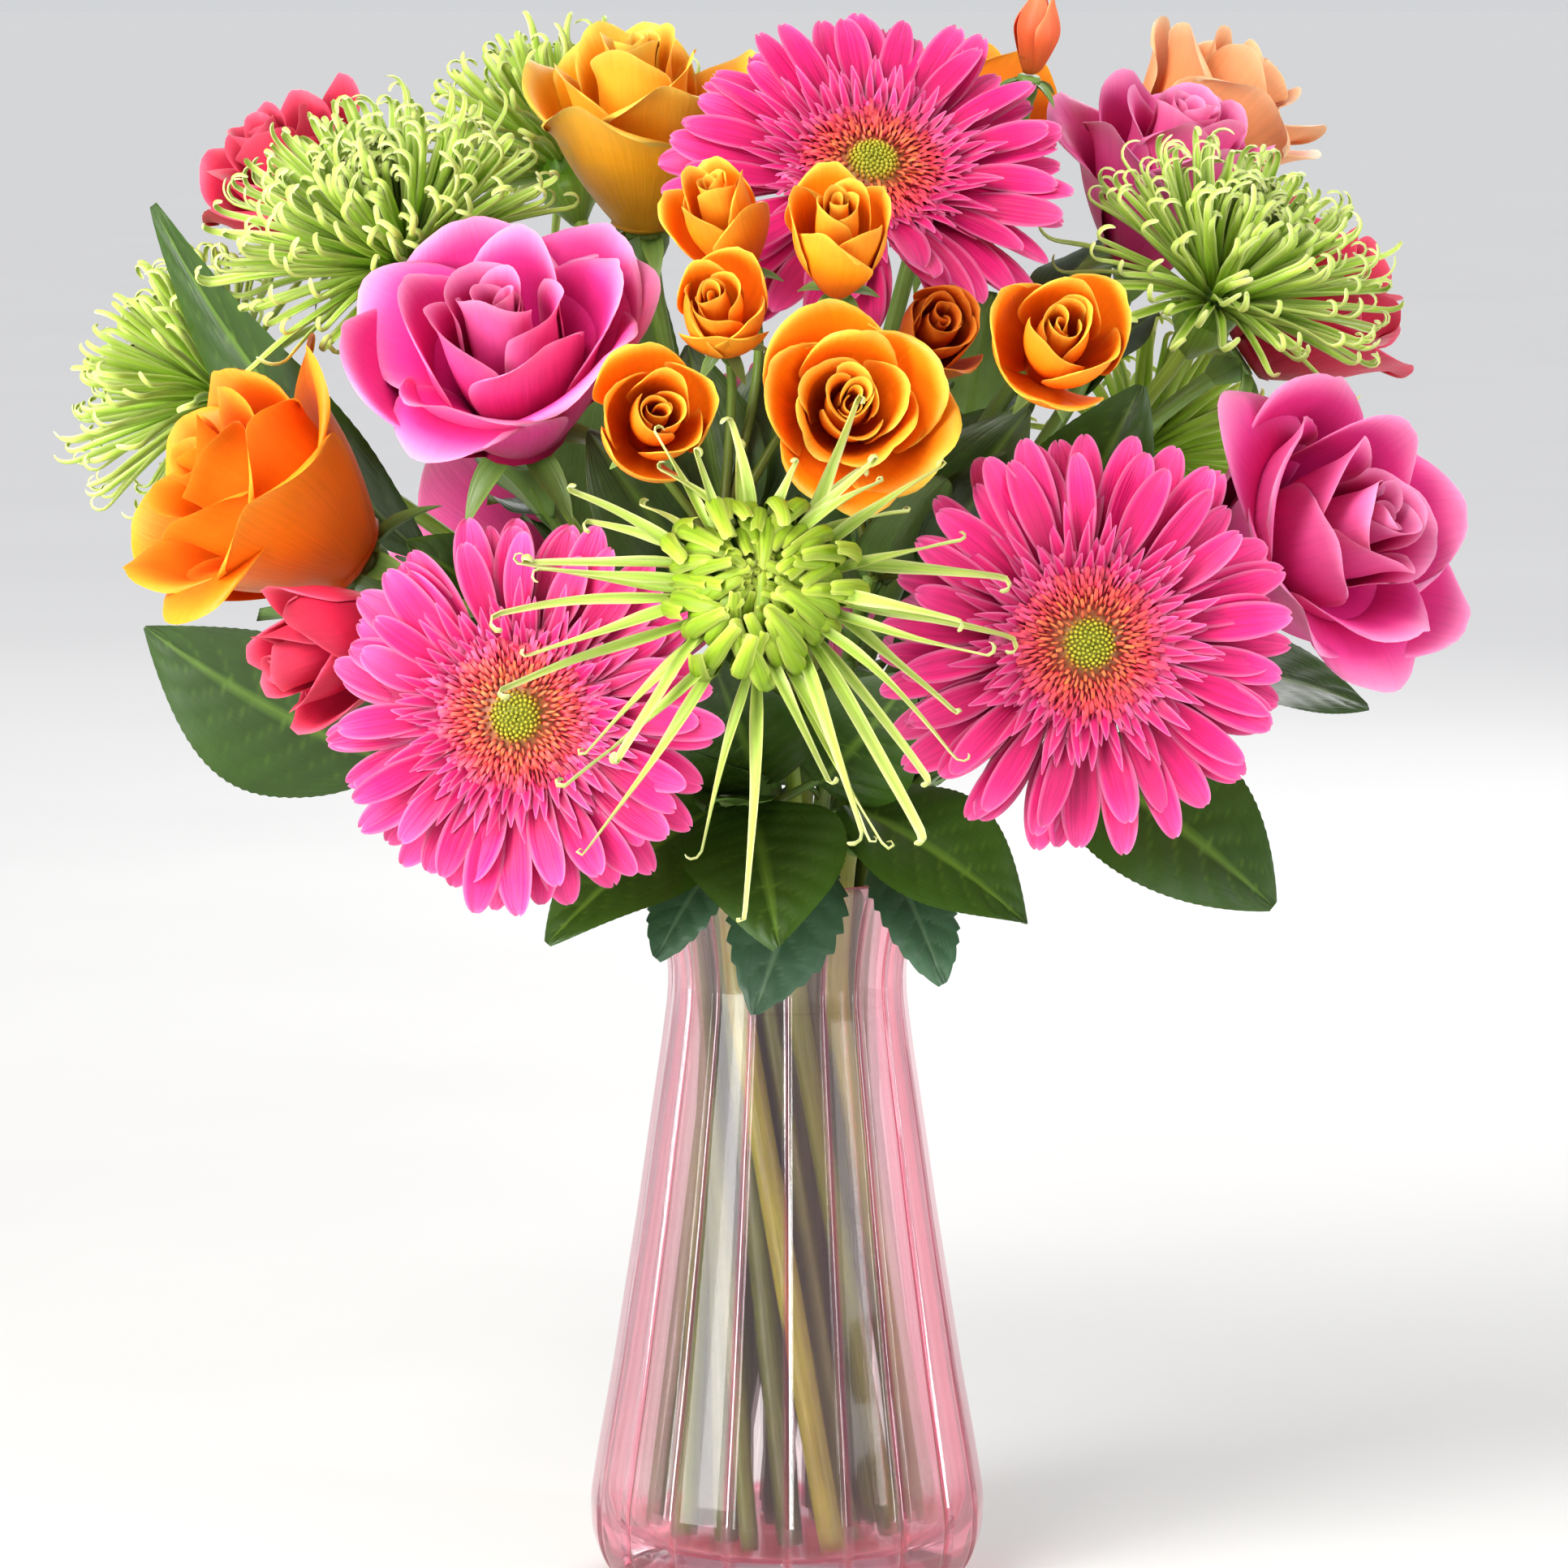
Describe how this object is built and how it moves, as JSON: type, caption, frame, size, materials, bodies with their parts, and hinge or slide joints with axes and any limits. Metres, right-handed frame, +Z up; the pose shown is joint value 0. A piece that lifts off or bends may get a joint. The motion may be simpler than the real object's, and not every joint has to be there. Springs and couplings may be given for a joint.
{
  "type": "vase of mixed flowers",
  "caption": "Domed bouquet of gerberas, spider chrysanthemums, roses, spray roses and broad leaves, standing in water in a flared, fluted glass vase.",
  "frame": {"origin": "middle of the vase's foot, on the surface it stands on", "axes": "+Z up along the vase, -Y towards the front of the bouquet, +X to its right as seen from the front"},
  "size_m": [0.3538, 0.3016, 0.4017],
  "materials": {
    "vase_glass": "clear pink",
    "water": "clear water",
    "gerbera_pink": "satin petal",
    "gerbera_disc": "matt florets",
    "mum_green": "satin petal",
    "rose_pink": "satin petal",
    "rose_orange": "satin petal",
    "rose_peach": "satin petal",
    "rose_hot_pink": "satin petal",
    "stem_green": "satin stem",
    "leaf_green": "satin leaf"
  },
  "bodies": {
    "root": {"vase": "vase_glass", "water": "water", "gerbera_top_disc": "gerbera_disc", "gerbera_left_disc": "gerbera_disc", "gerbera_right_disc": "gerbera_disc", "gerbera_back_disc": "gerbera_disc", "gerbera_left_petals": "gerbera_pink", "gerbera_right_petals": "gerbera_pink", "mum_front": "mum_green", "spray_rose_5": "rose_orange", "spray_rose_4": "rose_orange", "spray_rose_7": "rose_orange", "spray_rose_2": "rose_orange", "spray_rose_3": "rose_orange", "gerbera_top_petals": "gerbera_pink", "spray_rose_1": "rose_orange", "spray_rose_6": "rose_orange", "rose_hot_low_petals": "rose_hot_pink", "rose_pink_left_petals": "rose_pink", "rose_pink_right_petals": "rose_pink", "rose_orange_left_petals": "rose_orange", "mum_right": "mum_green", "mum_upper_left": "mum_green", "spray_bud": "rose_orange", "rose_orange_top_petals": "rose_orange", "rose_pink_top_petals": "rose_pink", "gerbera_back_petals": "gerbera_pink", "mum_far_left": "mum_green", "rose_hot_right_petals": "rose_hot_pink", "rose_hot_left_petals": "rose_hot_pink", "rose_orange_back_petals": "rose_orange", "mum_top_back": "mum_green", "mum_back": "mum_green", "rose_peach_petals": "rose_peach", "rose_pink_back_petals": "rose_pink", "gerbera_top_stem": "stem_green", "gerbera_left_stem": "stem_green", "gerbera_right_stem": "stem_green", "gerbera_back_stem": "stem_green", "rose_pink_left_stem": "stem_green", "rose_pink_right_stem": "stem_green", "rose_pink_top_stem": "stem_green", "rose_pink_back_stem": "stem_green", "rose_orange_left_stem": "stem_green", "rose_orange_top_stem": "stem_green", "rose_orange_back_stem": "stem_green", "rose_peach_stem": "stem_green", "rose_hot_left_stem": "stem_green", "rose_hot_right_stem": "stem_green", "rose_hot_low_stem": "stem_green", "spray_left": "stem_green", "spray_right": "stem_green", "leaves_left": "leaf_green", "leaves_front": "leaf_green", "leaves_right": "leaf_green", "leaves_back_left": "leaf_green", "leaves_back_right": "leaf_green"}
  },
  "joints": []
}
